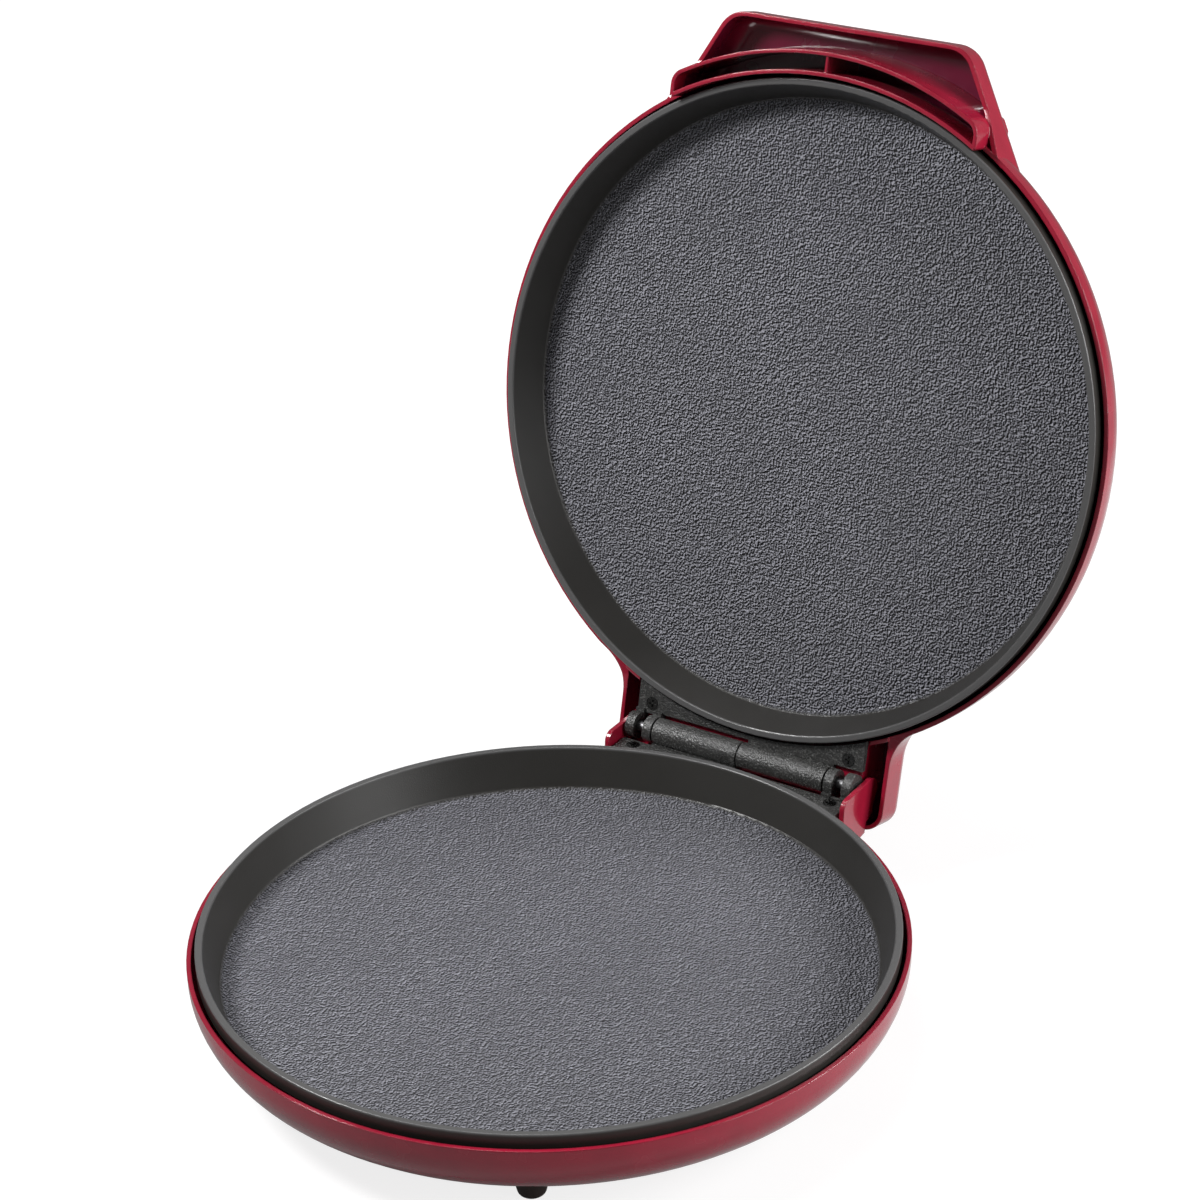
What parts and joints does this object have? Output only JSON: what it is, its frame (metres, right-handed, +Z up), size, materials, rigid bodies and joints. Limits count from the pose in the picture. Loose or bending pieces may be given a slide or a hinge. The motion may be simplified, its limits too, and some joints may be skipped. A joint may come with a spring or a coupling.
{
  "type": "electric pizza maker",
  "caption": "Round countertop electric pizza maker: non-stick pan base and matching heated lid with a handle nose, joined by a rear hinge and shown open.",
  "frame": {"origin": "on the table, straight under the middle of the open machine's box; the lower pan's centre is 62.4 mm in front of it", "axes": "+X to the right along the hinge axis as seen from the front, +Y to the back, +Z up"},
  "size_m": [0.3282, 0.4529, 0.3917],
  "materials": {
    "casing": "glossy burgundy red moulding",
    "cover": "glossy burgundy red disc",
    "feet": "dark brown-black",
    "non_stick_plate": "cast, black non-stick coating with a pebbled floor",
    "screws": "zinc plated",
    "dark_screws": "blackened cross-head",
    "brass_screws": "plain",
    "element": "heat-tinted sheath",
    "shield": "aluminised sheet",
    "spring_strip": "plain strip",
    "thermostat": "off-white body",
    "fuse": "plain can",
    "terminal_block": "ivory",
    "gland": "black",
    "hinge": "satin black with a fine grain",
    "pins": "ground",
    "leads": "off-white heat-proof sleeve",
    "red_lens": "translucent red",
    "green_lens": "translucent green",
    "lamp_glass": "clear"
  },
  "bodies": {
    "base": {"base_casing": "casing", "base_feet": "feet", "lower_plate": "non_stick_plate", "lower_plate_screws": "screws", "lower_element": "element", "lower_heat_shield": "shield", "lower_shield_screws": "screws", "thermostat": "thermostat", "thermostat_strap": "spring_strip", "thermal_fuse": "fuse", "terminal_block": "terminal_block", "terminal_screws": "brass_screws", "cord_gland": "gland", "base_hinge_bracket": "hinge", "base_bracket_screws": "dark_screws", "hinge_pins": "pins", "base_leads": "leads"},
    "lid": {"lid_casing": "casing", "lid_cover": "cover", "upper_plate": "non_stick_plate", "upper_plate_screws": "screws", "upper_element": "element", "upper_heat_shield": "shield", "upper_shield_screws": "screws", "lid_hinge_bracket": "hinge", "lid_bracket_screws": "dark_screws", "power_lamp_lens": "red_lens", "ready_lamp_lens": "green_lens", "pilot_lamps": "lamp_glass", "lid_leads": "leads"}
  },
  "joints": [
    {"name": "lid_hinge", "type": "hinge", "parent": "base", "child": "lid", "pos_m": [0, 0.1091, 0.0503], "axis": [1, 0, 0], "range_deg": [0, 104.6]}
  ]
}
